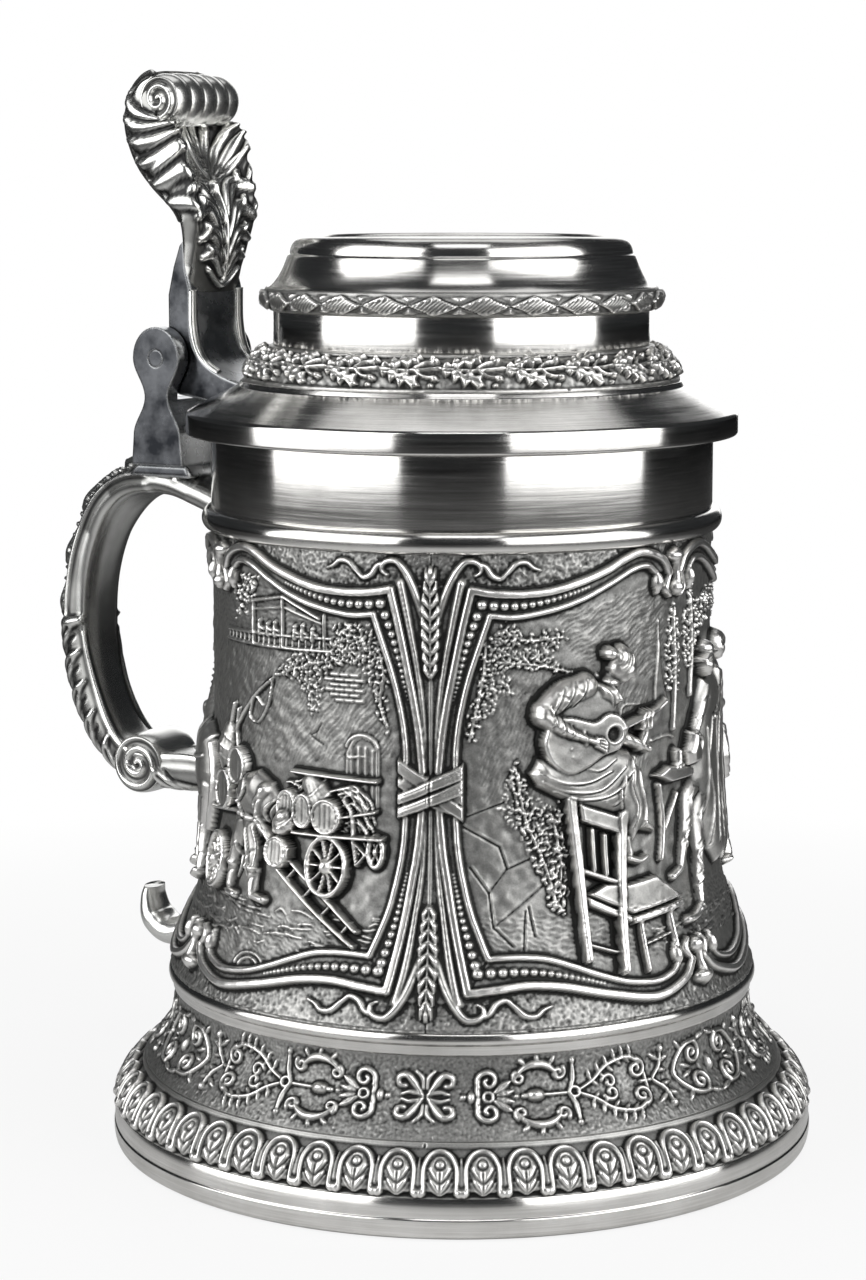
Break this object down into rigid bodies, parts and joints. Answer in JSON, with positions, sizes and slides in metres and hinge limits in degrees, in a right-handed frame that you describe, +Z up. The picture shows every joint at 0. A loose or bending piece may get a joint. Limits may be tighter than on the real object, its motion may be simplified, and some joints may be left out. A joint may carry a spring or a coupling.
{
  "type": "pewter tankard",
  "caption": "Lidded pewter tankard: flared relief drum on a stepped hollow foot, turned lip, domed hinged lid with a scrolled thumb-piece and a loop handle.",
  "frame": {"origin": "centre of the resting ring under the foot", "axes": "+Z up along the drum's axis, handle towards -X, hinge pin along Y"},
  "size_m": [0.1482, 0.1256, 0.1897],
  "materials": {
    "aged_relief": "antiqued relief pewter, dark in the hollows and polished on the high points",
    "turned_bright": "lathe-turned satin pewter with fine lines running round",
    "cast_polished": "cast pewter, polished with darkened hollows",
    "inside_satin": "plain satin pewter",
    "pin_steel": "drawn steel pin, ends dressed flush"
  },
  "bodies": {
    "vessel": {"drum": "aged_relief", "lip_collar": "turned_bright", "collar_bead": "turned_bright", "waist_ring": "turned_bright", "floor_plate": "inside_satin", "foot_skirt": "aged_relief", "leaf_ring": "aged_relief", "foot_rim": "turned_bright", "handle": "cast_polished", "handle_tail": "cast_polished", "hinge_block": "cast_polished", "hinge_pin": "pin_steel"},
    "lid": {"lid_flange": "turned_bright", "lid_lip": "turned_bright", "wreath_ring": "aged_relief", "neck_band": "turned_bright", "diamond_ring": "aged_relief", "lid_crown": "turned_bright", "crown_disc": "turned_bright", "lid_strap": "cast_polished", "thumb_piece": "cast_polished"}
  },
  "joints": [
    {"name": "lid_hinge", "type": "hinge", "parent": "vessel", "child": "lid", "pos_m": [-0.0573, 0, 0.138], "axis": [0, -1, 0], "range_deg": [0, 100]}
  ]
}
